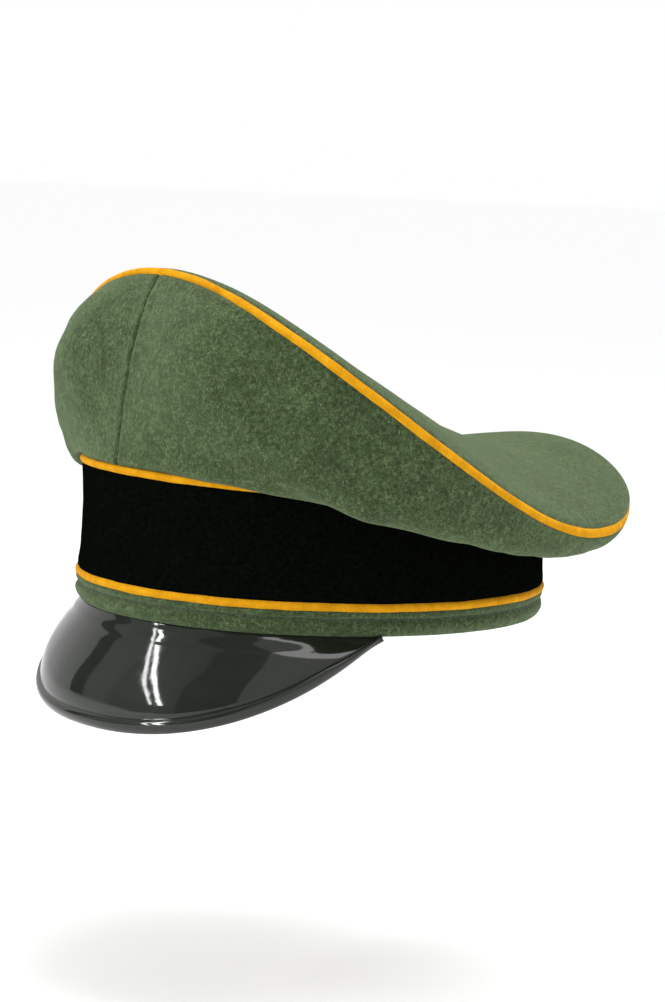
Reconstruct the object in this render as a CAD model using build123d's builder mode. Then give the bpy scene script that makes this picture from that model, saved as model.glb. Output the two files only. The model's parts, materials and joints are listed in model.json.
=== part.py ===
from build123d import *
import math
import os

# Peaked service cap with a saddle-shaped, high-fronted crown.
# Frame: millimetres, +Z up, -Y to the front (visor), +X to the wearer's left.
# Origin: centre of the head opening, in the plane of the band's lower edge.
# Angles "th" run around the cap: 0 = centre front, 90 = wearer's left,
# 180 = centre back.

# ---------------------------------------------------------------- dimensions
BAND_A = 103.0          # band outer half length, front to back
BAND_B = 89.2           # band outer half width
LOW_PIPE_Z = 11.5       # centre of the lower piping
TOP_PIPE_Z = 53.5       # mean height of the upper piping's centre
TOP_PIPE_TILT = 4.8     # the band is taller in front by this, lower behind
TOP_PIPE_DY = -1.1      # the band's top leans forward a little
TOP_PIPE_SCALE = 0.992
PIPE_R = 1.9            # piping radius: cloth over a cord
PIPE_PROUD = 0.4        # how far the piping's centre stands off the band

BAND_T = 1.6            # band cloth
BIND_IN = 2.3           # inner face of the bottom binding, inset from the band
STIFF_IN = 2.5          # outer face of the stiffener, inset from the band
STIFF_T = 1.5           # fibre stiffener
LEATHER_T = 1.2         # sweatband leather
REED_R = 1.1            # sweatband reed
SWEAT_TOP = 43.0        # sweatband's upper edge

# crown edge: a superellipse, set back, with a saddle-shaped height
CROWN_A = 108.05
CROWN_B = 119.4
CROWN_N = 2.31
CROWN_DY = 22.3
CROWN_EGG = 0.10
CROWN_Z = (75.0, 35.66, 26.65, -0.53, 0.42)     # cosine series of the edge height
DOME = (12.2, 12.35, 5.35)                      # rise of the top inside its edge
PUFF = 6.3                                    # padded roll just inside the edge

# side wall: a cubic curve in each radial plane, with a handle at each end,
# each given as (angle in degrees above the outward radius, length)
WALL_TH = (0, 22, 42, 62, 90, 135, 180)
WALL_A0 = (44.38, 25.38, -22.24, -44.35, -60.14, -65.48, -57.23)
WALL_L0 = (2.93, 2.08, 9.87, 31.27, 30.00, 22.87, 23.43)
WALL_A1 = (-37.28, -28.81, -63.41, -78.03, -77.55, -93.15, -58.26)
WALL_L1 = (19.17, 40.35, 55.49, 45.69, 27.84, 11.61, 18.03)
WALL_T = 1.8

TOP_T = 1.8             # crown top cloth
CANVAS_T = 0.7          # interlining
LINING_T = 0.5
SHIELD_T = 0.4
WIRE_W = 1.7          # side of the square wire
WIRE_R = 1.2          # half its diagonal
FERRULE_R = 2.2
STAY_W = 12.0
STAY_T = 1.2

# visor
VISOR_L = 48.2          # depth at the centre
VISOR_TV = 74.0         # half angle of its span
VISOR_PW = 2.72
VISOR_Q = 1.14
VISOR_D0 = 72.6         # chord slope below horizontal, centre
VISOR_D2 = -20.1        # change of slope towards the ends
VISOR_T = 2.0
VISOR_BULGE = 4.5       # outward camber of the face
BEAD_W = 4.2            # raised rim
BEAD_H = 1.0


# ------------------------------------------------------------ shape functions
def rad(d):
    return d * math.pi / 180.0


def oval(t, a, b, n=2.0, yc=0.0):
    s, c = math.sin(t), math.cos(t)
    r = (abs(s) ** n + abs(c) ** n) ** (-1.0 / n)
    return b * s * r, yc - a * c * r


def lerp_table(x, xs, ys):
    lo, hi = 0, len(xs) - 1
    while hi - lo > 1:
        m = (lo + hi) // 2
        if xs[m] <= x:
            lo = m
        else:
            hi = m
    f = (x - xs[lo]) / (xs[hi] - xs[lo])
    return ys[lo] + f * (ys[hi] - ys[lo])


def polar_ring(point, steps=400):
    """Tabulate a closed curve point(t) -> (x, y, z) as th -> (r, z)."""
    ths, rs, zs = [], [], []
    last = None
    for i in range(-steps // 8, steps + steps // 8 + 1):
        t = math.pi * (2.0 * i / steps - 1.0)
        x, y, z = point(t)
        th = math.atan2(x, -y)
        if last is not None:
            while th < last - math.pi:
                th += 2 * math.pi
            while th > last + math.pi:
                th -= 2 * math.pi
        else:
            while th > -math.pi:
                th -= 2 * math.pi
        last = th
        ths.append(th)
        rs.append(math.hypot(x, y))
        zs.append(z)
    return ths, rs, zs


def pchip(x, xs, ys):
    """Monotone cubic through (xs, ys), even and periodic in 360 degrees."""
    X = [-v for v in xs[-2:0:-1]] + list(xs)
    Y = list(ys[-2:0:-1]) + list(ys)
    n = len(X)
    X = [v - 360 for v in X] + X + [v + 360 for v in X]
    Y = Y * 3
    X2, Y2 = [X[0]], [Y[0]]
    for a, b in zip(X[1:], Y[1:]):
        if a > X2[-1] + 1e-9:
            X2.append(a)
            Y2.append(b)
    h = [X2[i + 1] - X2[i] for i in range(len(X2) - 1)]
    d = [(Y2[i + 1] - Y2[i]) / h[i] for i in range(len(h))]
    m = [0.0] * len(X2)
    for i in range(1, len(X2) - 1):
        if d[i - 1] * d[i] > 0:
            w1 = 2 * h[i] + h[i - 1]
            w2 = h[i] + 2 * h[i - 1]
            m[i] = (w1 + w2) / (w1 / d[i - 1] + w2 / d[i])
    for i in range(1, len(X2) - 2):
        if X2[i] <= x <= X2[i + 1]:
            s = (x - X2[i]) / h[i]
            return (Y2[i] * (1 + 2 * s) * (1 - s) ** 2 + h[i] * m[i] * s * (1 - s) ** 2
                    + Y2[i + 1] * s * s * (3 - 2 * s) + h[i] * m[i + 1] * s * s * (s - 1))
    raise ValueError(x)


def crown_z(t):
    return sum(c * math.cos(k * t) for k, c in enumerate(CROWN_Z))


def crown_pt(t):
    x, y = oval(t, CROWN_A, CROWN_B, CROWN_N, CROWN_DY)
    return x * (1 + CROWN_EGG * math.cos(t)), y, crown_z(t)


def top_pipe_pt(t):
    x, y = oval(t, BAND_A * TOP_PIPE_SCALE, BAND_B * TOP_PIPE_SCALE)
    return x, y + TOP_PIPE_DY, TOP_PIPE_Z + TOP_PIPE_TILT * math.cos(t)


def low_pipe_pt(t):
    x, y = oval(t, BAND_A, BAND_B)
    return x, y, LOW_PIPE_Z


CROWN_RING = polar_ring(crown_pt)
TOP_RING = polar_ring(top_pipe_pt)
LOW_RING = polar_ring(low_pipe_pt)


def ring_at(ring, th):
    th = (th + 180.0) % 360.0 - 180.0
    t = rad(th)
    return lerp_table(t, ring[0], ring[1]), lerp_table(t, ring[0], ring[2])


def wall_rz(th, s, off=0.0):
    """Point on the side wall at angle th (deg), s = 0 band .. 1 crown edge,
    moved inward by off along the curve's own normal."""
    k = abs((th + 180.0) % 360.0 - 180.0)
    r0, z0 = ring_at(TOP_RING, th)
    r3, z3 = ring_at(CROWN_RING, th)
    # the cloth leaves from just above the piping, and further out where it
    # folds down over it
    f = min(1.0, max(0.0, (10 - pchip(k, WALL_TH, WALL_A0)) / 60.0))
    r0 += 1.2 * f
    z0 += 1.95 + 0.65 * f
    a0, l0 = rad(pchip(k, WALL_TH, WALL_A0)), pchip(k, WALL_TH, WALL_L0)
    a1, l1 = rad(pchip(k, WALL_TH, WALL_A1)), pchip(k, WALL_TH, WALL_L1)
    P = ((r0, z0), (r0 + l0 * math.cos(a0), z0 + l0 * math.sin(a0)),
         (r3 + l1 * math.cos(a1), z3 + l1 * math.sin(a1)), (r3, z3))
    u = 1 - s
    w = (u ** 3, 3 * u * u * s, 3 * u * s * s, s ** 3)
    r = sum(a * p[0] for a, p in zip(w, P))
    z = sum(a * p[1] for a, p in zip(w, P))
    d = (3 * u * u, 6 * u * s, 3 * s * s)
    dr = sum(a * (P[i + 1][0] - P[i][0]) for i, a in enumerate(d))
    dz = sum(a * (P[i + 1][1] - P[i][1]) for i, a in enumerate(d))
    q = math.hypot(dr, dz)
    # the outward normal is to the right of the climbing curve
    return r - off * dz / q, z + off * dr / q


def top_z(x, y):
    """Height of the crown's top cloth over the point (x, y)."""
    th = math.atan2(x, -(y - CROWN_DY))
    # radius fraction R and the curve parameter t of the crown edge
    R, t = 0.0, th
    for _ in range(12):
        ex, ey = oval(t, CROWN_A, CROWN_B, CROWN_N, 0)
        ex *= 1 + CROWN_EGG * math.cos(t)
        e = math.atan2(ex, -ey) - th
        e = (e + math.pi) % (2 * math.pi) - math.pi
        t -= e
    ex, ey = oval(t, CROWN_A, CROWN_B, CROWN_N, 0)
    ex *= 1 + CROWN_EGG * math.cos(t)
    R = math.hypot(x, y - CROWN_DY) / math.hypot(ex, ey)
    z = sum(c * R ** k * math.cos(k * t) for k, c in enumerate(CROWN_Z))
    z += (1 - R * R) * (DOME[0] + DOME[1] * R * math.cos(t) + DOME[2] * R * R * math.cos(2 * t))
    if R < 1:
        z += PUFF * (1 - R ** 16) * R ** 4
    else:
        z += -PUFF * 16 * (R - 1)
    return z


def radial_plane(th):
    t = rad(th)
    return Plane(origin=(0, 0, 0), x_dir=(math.sin(t), -math.cos(t), 0),
                 z_dir=(-math.cos(t), -math.sin(t), 0))


def slab_rows(drop_top, drop_bottom, outline, rows=15, cols=17, over=1.06):
    """Sections of a height-field slab under the crown's top cloth: for each
    row a y, the upper points and the lower points, just wider than outline."""
    xs = [p[0] for p in outline]
    ys = [p[1] for p in outline]
    y0, y1 = min(ys), max(ys)
    yc, hy = (y0 + y1) / 2, (y1 - y0) / 2 * over + 1
    hx = max(abs(v) for v in xs) * over + 1
    out = []
    for i in range(rows):
        y = yc + hy * (2 * i / (rows - 1) - 1)
        pts = [hx * (2 * j / (cols - 1) - 1) for j in range(cols)]
        out.append((y, [(x, top_z(x, y) - drop_top) for x in pts],
                    [(x, top_z(x, y) - drop_bottom) for x in pts]))
    return out


def crown_outline(scale=1.0, inset=0.0, n=72):
    pts = []
    for i in range(n):
        t = 2 * math.pi * i / n
        x, y, _ = crown_pt(t)
        d = math.hypot(x, y - CROWN_DY)
        f = scale * (d - inset) / d
        pts.append((x * f, CROWN_DY + (y - CROWN_DY) * f))
    return pts


def y_plane(y):
    return Plane(origin=(0, y, 0), x_dir=(1, 0, 0), z_dir=(0, -1, 0))


os.makedirs("parts", exist_ok=True)


def done(name, builder):
    builder.part.label = name
    export_step(builder.part, f"parts/{name}.step")


def band_plane(z):
    """Horizontal plane whose origin follows the band's slight lean."""
    f = (z - LOW_PIPE_Z) / (TOP_PIPE_Z - LOW_PIPE_Z)
    return Plane(origin=(0, TOP_PIPE_DY * max(0.0, f), z))


def band_axes(z, inset):
    f = max(0.0, (z - LOW_PIPE_Z) / (TOP_PIPE_Z - LOW_PIPE_Z))
    s = 1 + (TOP_PIPE_SCALE - 1) * f
    if z < LOW_PIPE_Z:
        s = 1 - 0.008 * (LOW_PIPE_Z - z) / LOW_PIPE_Z
    return BAND_B * s - inset, BAND_A * s - inset


# the plane in which the upper piping lies
TILT = math.degrees(math.atan2(TOP_PIPE_TILT, BAND_A))
TOP_PIPE_PLANE = Plane(origin=(0, TOP_PIPE_DY, TOP_PIPE_Z), x_dir=(1, 0, 0),
                       z_dir=(0, math.sin(rad(TILT)), math.cos(rad(TILT))))

# --------------------------------------------------------------- band cloth
with BuildPart() as cap_band:
    for z in (LOW_PIPE_Z + PIPE_R, 32.0, 66.0):
        with BuildSketch(band_plane(z)):
            Ellipse(*band_axes(z, 0))
    loft()
    for z in (LOW_PIPE_Z + PIPE_R - 1, 32.0, 67.0):
        with BuildSketch(band_plane(z)):
            Ellipse(*band_axes(z, BAND_T))
    loft(mode=Mode.SUBTRACT)
    split(bisect_by=TOP_PIPE_PLANE.offset(-PIPE_R), keep=Keep.BOTTOM)
done("cap_band", cap_band)

# ----------------------------------------------- bottom binding, turned under
with BuildPart() as bottom_binding:
    for z in (0.0, 3.0, LOW_PIPE_Z - PIPE_R):
        with BuildSketch(Plane.XY.offset(z)):
            Ellipse(*band_axes(z, 0))
    loft()
    with BuildSketch(Plane.XY.offset(1.8)):
        Ellipse(*band_axes(LOW_PIPE_Z, BIND_IN))
    extrude(amount=12, mode=Mode.SUBTRACT)
    with BuildSketch(Plane.XY.offset(-1)):
        Ellipse(*band_axes(LOW_PIPE_Z, 6.2))
    extrude(amount=14, mode=Mode.SUBTRACT)
done("bottom_binding", bottom_binding)

# ------------------------------------------------------------------- pipings
with BuildPart() as lower_band_piping:
    with BuildLine(Plane.XY.offset(LOW_PIPE_Z)) as path:
        EllipticalCenterArc((0, 0), BAND_B + PIPE_PROUD, BAND_A + PIPE_PROUD,
                            start_angle=0, arc_size=360)
    with BuildSketch(Plane(origin=path.line @ 0, z_dir=path.line % 0)):
        Circle(PIPE_R)
    sweep()
done("lower_band_piping", lower_band_piping)

with BuildPart() as upper_band_piping:
    with BuildLine(TOP_PIPE_PLANE) as path:
        EllipticalCenterArc((0, 0), BAND_B * TOP_PIPE_SCALE + PIPE_PROUD,
                            BAND_A * TOP_PIPE_SCALE + PIPE_PROUD,
                            start_angle=0, arc_size=360)
    with BuildSketch(Plane(origin=path.line @ 0, z_dir=path.line % 0)):
        Circle(PIPE_R)
    sweep()
done("upper_band_piping", upper_band_piping)


with BuildPart() as crown_piping:
    with BuildLine() as path:
        Spline(*[crown_pt(math.pi * i / 12) for i in range(13)],
               tangents=[(1, 0, 0), (-1, 0, 0)])
    with BuildSketch(Plane(origin=path.line @ 0, x_dir=(0, 0, 1), z_dir=(1, 0, 0))):
        Circle(PIPE_R)
    sweep()
    mirror(about=Plane.YZ)
done("crown_piping", crown_piping)

# ------------------------------------------------------- stiffener and leather
with BuildPart() as band_stiffener:
    for z in (2.2, 28.0, 62.0):
        with BuildSketch(band_plane(z)):
            Ellipse(*band_axes(max(z, LOW_PIPE_Z), STIFF_IN))
    loft()
    for z in (2.0, 28.0, 63.0):
        with BuildSketch(band_plane(z)):
            Ellipse(*band_axes(max(z, LOW_PIPE_Z), STIFF_IN + STIFF_T))
    loft(mode=Mode.SUBTRACT)
    split(bisect_by=TOP_PIPE_PLANE.offset(-0.8), keep=Keep.BOTTOM)
done("band_stiffener", band_stiffener)

SWEAT_IN = STIFF_IN + STIFF_T + 0.3          # sweatband's outer face, inset
with BuildPart() as sweatband:
    for z in (2.6, 24.0, SWEAT_TOP):
        with BuildSketch(band_plane(z)):
            Ellipse(*band_axes(max(z, LOW_PIPE_Z), SWEAT_IN))
    loft()
    for z in (2.6, 24.0, SWEAT_TOP):
        with BuildSketch(band_plane(z)):
            Ellipse(*band_axes(max(z, LOW_PIPE_Z), SWEAT_IN + LEATHER_T))
    loft(mode=Mode.SUBTRACT)
done("sweatband", sweatband)

with BuildPart() as sweatband_reed:
    reed = band_axes(LOW_PIPE_Z, 6.3 + REED_R)
    with BuildLine(Plane.XY.offset(1.2)) as path:
        EllipticalCenterArc((0, 0), reed[0], reed[1], start_angle=0, arc_size=360)
    with BuildSketch(Plane(origin=path.line @ 0, z_dir=path.line % 0)):
        Circle(REED_R)
    sweep()
done("sweatband_reed", sweatband_reed)

# ---------------------------------------------------------- crown side panels
SIDE_TH = [0, 11, 22, 32, 42, 52, 62, 76, 90, 105, 120, 135, 150, 165, 180]


def wall_strip(th, s0, s1, off0, off1, n=13):
    """Closed outline of a strip of the wall, between two inward offsets."""
    outer = [wall_rz(th, s0 + (s1 - s0) * i / (n - 1), off0) for i in range(n)]
    inner = [wall_rz(th, s0 + (s1 - s0) * i / (n - 1), off1) for i in range(n)]
    return outer, inner


def side_sections(s0, s1, off0, off1):
    out = []
    for th in SIDE_TH:
        # trim the ends so that the cloth stops at the pipings
        out.append((th, wall_strip(th, s0, s1, off0, off1)))
    return out


with BuildPart() as crown_side_left:
    for th, (outer, inner) in side_sections(0.004, 0.972, 0.0, WALL_T):
        with BuildSketch(radial_plane(th)):
            with BuildLine():
                Spline(*outer)
                Line(outer[-1], inner[-1])
                Spline(*inner[::-1])
                Line(inner[0], outer[0])
            make_face()
    loft()
done("crown_side_left", crown_side_left)

with BuildPart() as crown_side_right:
    mirror(crown_side_left.part, about=Plane.YZ)
done("crown_side_right", crown_side_right)

with BuildPart() as side_interlining_left:
    for th, (outer, inner) in side_sections(0.08, 0.90, WALL_T + 0.4, WALL_T + 0.4 + CANVAS_T):
        with BuildSketch(radial_plane(th)):
            with BuildLine():
                Spline(*outer)
                Line(outer[-1], inner[-1])
                Spline(*inner[::-1])
                Line(inner[0], outer[0])
            make_face()
    loft()
done("side_interlining_left", side_interlining_left)

with BuildPart() as side_interlining_right:
    mirror(side_interlining_left.part, about=Plane.YZ)
done("side_interlining_right", side_interlining_right)


# -------------------------------------------------------------- top panels
with BuildPart() as top_panel:
    edge = crown_outline(inset=2.1)
    for y, up, low in slab_rows(0.0, TOP_T, edge):
        with BuildSketch(y_plane(y)):
            with BuildLine():
                Spline(*up)
                Line(up[-1], low[-1])
                Spline(*low[::-1])
                Line(low[0], up[0])
            make_face()
    loft()
    with BuildSketch(Plane.XY.offset(-20)):
        with BuildLine():
            Spline(*edge, periodic=True)
        make_face()
    extrude(amount=220, mode=Mode.INTERSECT)
done("top_panel", top_panel)

with BuildPart() as top_interlining:
    edge = crown_outline(inset=7.0)
    for y, up, low in slab_rows(TOP_T + 0.3, TOP_T + 0.3 + CANVAS_T, edge):
        with BuildSketch(y_plane(y)):
            with BuildLine():
                Spline(*up)
                Line(up[-1], low[-1])
                Spline(*low[::-1])
                Line(low[0], up[0])
            make_face()
    loft()
    with BuildSketch(Plane.XY.offset(-20)):
        with BuildLine():
            Spline(*edge, periodic=True)
        make_face()
    extrude(amount=220, mode=Mode.INTERSECT)
done("top_interlining", top_interlining)

LIN_TOP = 9.0            # lining's depth below the top cloth


def lining_r(th):
    """Polar radius of the top lining: the band's inside, drawn in where the
    crown's front leans back."""
    a = ring_at(LOW_RING, th)[0] - 6.5
    b = ring_at(CROWN_RING, th)[0] - 15.0
    return (a ** -8 + b ** -8) ** (-1 / 8)


def lining_outline(n=60):
    out = []
    for i in range(n):
        th = 360.0 * i / n
        r = lining_r(th)
        out.append((r * math.sin(rad(th)), -r * math.cos(rad(th))))
    return out


with BuildPart() as lining_top:
    edge = lining_outline()
    for y, up, low in slab_rows(LIN_TOP, LIN_TOP + LINING_T, edge):
        with BuildSketch(y_plane(y)):
            with BuildLine():
                Spline(*up)
                Line(up[-1], low[-1])
                Spline(*low[::-1])
                Line(low[0], up[0])
            make_face()
    loft()
    with BuildSketch(Plane.XY.offset(-20)):
        with BuildLine():
            Spline(*edge, periodic=True)
        make_face()
    extrude(amount=220, mode=Mode.INTERSECT)
done("lining_top", lining_top)

# celluloid shield under the lining's centre, a rounded lozenge
with BuildPart() as sweat_shield:
    box = [(-70, -40), (70, 90)]
    for y, up, low in slab_rows(LIN_TOP + LINING_T + 0.4, LIN_TOP + LINING_T + 0.4 + SHIELD_T, box, rows=9, cols=11):
        with BuildSketch(y_plane(y)):
            with BuildLine():
                Spline(*up)
                Line(up[-1], low[-1])
                Spline(*low[::-1])
                Line(low[0], up[0])
            make_face()
    loft()
    with BuildSketch(Plane.XY.offset(-20)) as lozenge:
        with BuildLine():
            Polyline((0, -30), (46, 22), (0, 74), (-46, 22), close=True)
        make_face()
        fillet(lozenge.vertices(), 14)
    extrude(amount=220, mode=Mode.INTERSECT)
done("sweat_shield", sweat_shield)

# ------------------------------------------------------------- side lining
def lining_profile(th):
    """Loose side lining: from above the sweatband up to the top lining."""
    t = rad(th)
    r0 = ring_at(LOW_RING, th)[0] - SWEAT_IN - 1.0
    z0 = SWEAT_TOP + 0.6
    r1 = lining_r(th) + 0.15
    z1 = top_z(r1 * math.sin(t), -r1 * math.cos(t)) - LIN_TOP - 0.1
    return (r0, z0), (r1, z1)


with BuildPart() as lining_side:
    for th in range(0, 181, 12):
        (r0, z0), (r1, z1) = lining_profile(th)
        d = math.hypot(r1 - r0, z1 - z0)
        nr, nz = (z1 - z0) / d, -(r1 - r0) / d
        out = [(r0 + (r1 - r0) * k / 4 + nr * 0.012 * d * math.sin(math.pi * k / 4),
                z0 + (z1 - z0) * k / 4 + nz * 0.012 * d * math.sin(math.pi * k / 4)) for k in range(5)]
        inn = [(p[0] - nr * LINING_T, p[1] - nz * LINING_T) for p in out]
        with BuildSketch(radial_plane(th)):
            with BuildLine():
                Spline(*out)
                Line(out[-1], inn[-1])
                Spline(*inn[::-1])
                Line(inn[0], out[0])
            make_face()
    loft()
    mirror(about=Plane.YZ)
done("lining_side", lining_side)

# ----------------------------------------------------- crown's wire and ferrule
def wire_pt(t, inset=6.0, drop=2.2):
    x, y, z = crown_pt(t)
    d = math.hypot(x, y - CROWN_DY)
    f = (d - inset) / d
    xx, yy = x * f, CROWN_DY + (y - CROWN_DY) * f
    return xx, yy, top_z(xx, yy) - TOP_T - 1.4 - drop


with BuildPart() as hoop_wire:
    # square spring steel; the two ends stop a little short of each other,
    # inside the ferrule
    with BuildLine() as path:
        Spline(*[wire_pt((math.pi - 0.012) * i / 12) for i in range(-12, 13)])
    with BuildSketch(Plane(origin=path.line @ 0, x_dir=(0, 0, 1), z_dir=path.line % 0)):
        Rectangle(WIRE_W, WIRE_W)
    sweep()
done("hoop_wire", hoop_wire)

with BuildPart() as hoop_ferrule:
    p = wire_pt(math.pi)
    with BuildSketch(Plane(origin=(p[0] - 7, p[1] - 0.1, p[2]), x_dir=(0, 1, 0), z_dir=(1, 0, 0))):
        Circle(FERRULE_R)
        Circle(WIRE_R + 0.35, mode=Mode.SUBTRACT)
    extrude(amount=14)
done("hoop_ferrule", hoop_ferrule)

# ------------------------------------------------------------- front stay, pad
with BuildPart() as front_stay:
    outer, inner = wall_strip(0, 0.06, 0.90, WALL_T + 0.2 + CANVAS_T + 0.3,
                              WALL_T + 0.2 + CANVAS_T + 0.3 + STAY_T)
    with BuildSketch(radial_plane(0)):
        with BuildLine():
            Spline(*outer)
            Line(outer[-1], inner[-1])
            Spline(*inner[::-1])
            Line(inner[0], outer[0])
        make_face()
    extrude(amount=STAY_W / 2, both=True)
done("front_stay", front_stay)

PAD_TH = (-58, -48, -36, -24, -12, 0, 12, 24, 36, 48, 58)
PAD_T = 7.5
with BuildPart() as front_pad:
    for th in PAD_TH:
        k = 1 - (abs(th) / 66.0) ** 3
        base = WALL_T + 0.2 + CANVAS_T + 0.3 + STAY_T + 0.9
        outer = [wall_rz(th, 0.22 + 0.5 * i / 8, base) for i in range(9)]
        inner = [wall_rz(th, 0.22 + 0.5 * i / 8,
                         base + 0.8 + PAD_T * k * math.sin(math.pi * i / 8) ** 0.8) for i in range(9)]
        with BuildSketch(radial_plane(th)):
            with BuildLine():
                Spline(*outer)
                Line(outer[-1], inner[-1])
                Spline(*inner[::-1])
                Line(inner[0], outer[0])
            make_face()
    loft()
done("front_pad", front_pad)


# ------------------------------------------------------------------- visor
def visor_rim_pt(t):
    bx, by = oval(t, BAND_A * 0.985, BAND_B * 0.985)
    nx, ny = math.sin(t) / BAND_B, -math.cos(t) / BAND_A
    q = math.hypot(nx, ny)
    u = abs(t) / rad(VISOR_TV)
    L = VISOR_L * max(0.0, 1 - u ** VISOR_PW) ** VISOR_Q
    d = rad(VISOR_D0) + rad(VISOR_D2) * u * u
    return (bx + nx / q * L * math.cos(d), by + ny / q * L * math.cos(d), 2 - L * math.sin(d))


def visor_rim_rz(th):
    """Rim in polar form, found by bisection on the curve parameter."""
    t = rad(abs(th))
    lo, hi = 0.0, rad(VISOR_TV)
    for _ in range(50):
        m = (lo + hi) / 2
        x, y, z = visor_rim_pt(m)
        if math.atan2(x, -y) < t:
            lo = m
        else:
            hi = m
    x, y, z = visor_rim_pt((lo + hi) / 2)
    return math.hypot(x, y), z


def visor_face(th, bead=True):
    """Upper face in the radial plane, from under the binding to the rim."""
    rb, _ = ring_at(LOW_RING, th)
    r1, z1 = rb * 0.985 - 0.6, -0.1
    r2, z2 = visor_rim_rz(th)
    L = math.hypot(r2 - r1, z2 - z1)
    nr, nz = -(z2 - z1) / L, (r2 - r1) / L
    bulge = VISOR_BULGE * (L / VISOR_L) ** 1.5
    w = min(BEAD_W, 0.3 * L)
    h = BEAD_H * w / BEAD_W
    stops = [(k / 7 * (L - w) / L, 0.0) for k in range(8)]
    stops += [(1 - w * (1 - f) / L, g * h) for f, g in ((0.2, 0.7), (0.45, 1.0), (0.75, 0.9), (1.0, 0.45))]
    pts = []
    for s, lift in stops:
        c = math.sin(math.pi * s) * bulge * (1 - 0.25 * math.cos(math.pi * s))
        if bead:
            c += lift
        pts.append((r1 + (r2 - r1) * s + nr * c, z1 + (z2 - z1) * s + nz * c))
    return pts


def offset_pts(pts, d):
    out = []
    for i, p in enumerate(pts):
        a = pts[max(0, i - 1)]
        b = pts[min(len(pts) - 1, i + 1)]
        L = math.hypot(b[0] - a[0], b[1] - a[1])
        nr, nz = -(b[1] - a[1]) / L, (b[0] - a[0]) / L
        out.append((p[0] - nr * d, p[1] - nz * d))
    return out


VISOR_TH = [0, 9, 18, 27, 36, 44, 51, 57, 62, 66, 69]
with BuildPart() as visor:
    for th in VISOR_TH:
        face = visor_face(th)
        under = offset_pts(visor_face(th, bead=False), VISOR_T)
        rb, _ = ring_at(LOW_RING, th)
        root = rb - 6.0
        with BuildSketch(radial_plane(th)):
            with BuildLine():
                Line((root, -0.1), face[0])
                Spline(*face)
                Line(face[-1], under[-1])
                Spline(*under[::-1])
                Line(under[0], (root, -2.1))
                Line((root, -2.1), (root, -0.1))
            make_face()
    loft()
    mirror(about=Plane.YZ)
done("visor", visor)

with BuildPart() as visor_lining:
    for th in VISOR_TH[:-1]:
        face = offset_pts(visor_face(th, bead=False), VISOR_T + 0.2)
        under = offset_pts(visor_face(th, bead=False), VISOR_T + 0.9)
        with BuildSketch(radial_plane(th)):
            with BuildLine():
                Spline(*face)
                Line(face[-1], under[-1])
                Spline(*under[::-1])
                Line(under[0], face[0])
            make_face()
    loft()
    mirror(about=Plane.YZ)
done("visor_lining", visor_lining)

# ------------------------------------------------------------- stitching
BIND_STITCH_Z = 6.6
with BuildPart() as binding_stitching:
    # a line of thread lying in the groove of the bottom binding, 0.6 square
    with BuildSketch(Plane.XY.offset(BIND_STITCH_Z - 0.3)):
        Ellipse(*band_axes(BIND_STITCH_Z, -0.62))
        Ellipse(*band_axes(BIND_STITCH_Z, -0.02), mode=Mode.SUBTRACT)
    extrude(amount=0.6)
done("binding_stitching", binding_stitching)

with BuildPart() as visor_stitching:
    # a flat line of thread along the front of the visor's root, 0.6 wide
    with BuildSketch(Plane.XY.offset(-2.7)):
        Ellipse(*band_axes(LOW_PIPE_Z, 4.7))
        Ellipse(*band_axes(LOW_PIPE_Z, 5.3), mode=Mode.SUBTRACT)
    extrude(amount=0.58)
    with Locations((0, -46.0, -2.4)):
        Box(300, 200, 4, align=(Align.CENTER, Align.MIN, Align.CENTER), mode=Mode.SUBTRACT)
done("visor_stitching", visor_stitching)
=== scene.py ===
import bpy, bmesh, json, math, random
import numpy as np
from mathutils import Matrix, Vector


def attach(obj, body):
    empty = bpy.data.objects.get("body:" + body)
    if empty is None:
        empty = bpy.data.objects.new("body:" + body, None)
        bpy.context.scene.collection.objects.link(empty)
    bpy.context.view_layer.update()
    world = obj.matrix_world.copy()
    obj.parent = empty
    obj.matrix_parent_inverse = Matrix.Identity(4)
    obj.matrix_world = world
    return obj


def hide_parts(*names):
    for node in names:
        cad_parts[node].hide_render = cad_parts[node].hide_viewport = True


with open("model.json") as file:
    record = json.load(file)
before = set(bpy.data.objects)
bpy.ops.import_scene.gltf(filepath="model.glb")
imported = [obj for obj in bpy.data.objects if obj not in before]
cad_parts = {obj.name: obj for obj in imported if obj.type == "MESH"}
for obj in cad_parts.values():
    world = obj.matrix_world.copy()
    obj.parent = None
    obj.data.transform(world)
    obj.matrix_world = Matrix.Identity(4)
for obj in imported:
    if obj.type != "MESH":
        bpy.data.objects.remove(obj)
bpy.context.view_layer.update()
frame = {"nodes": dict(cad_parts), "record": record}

rng = np.random.default_rng(7)
MM = 0.001
pi = math.pi
REC = frame["record"]

# ---------------------------------------------------------------- shape numbers
BAND_A, BAND_B = 103.0, 89.2
LOW_Z = 11.5
TOP_Z, TOP_TILT, TOP_DY, TOP_S = 53.5, 4.8, -1.1, 0.992
CA, CB, CN, CDY, CEGG = 108.05, 119.4, 2.31, 22.3, 0.10
CZ = (75.0, 35.66, 26.65, -0.53, 0.42)
DOME = (12.2, 12.35, 5.35)
PUFF = 6.3
W_TH = (0, 22, 42, 62, 90, 135, 180)
W_A0 = (44.38, 25.38, -22.24, -44.35, -60.14, -65.48, -57.23)
W_L0 = (2.93, 2.08, 9.87, 31.27, 30.00, 22.87, 23.43)
W_A1 = (-37.28, -28.81, -63.41, -78.03, -77.55, -93.15, -58.26)
W_L1 = (19.17, 40.35, 55.49, 45.69, 27.84, 11.61, 18.03)
V_L, V_TV, V_PW, V_Q, V_D0, V_D2 = 48.2, 74.0, 2.72, 1.14, 72.6, -20.1
CLOTH = 1.8
SWEAT_IN = 4.3


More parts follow.
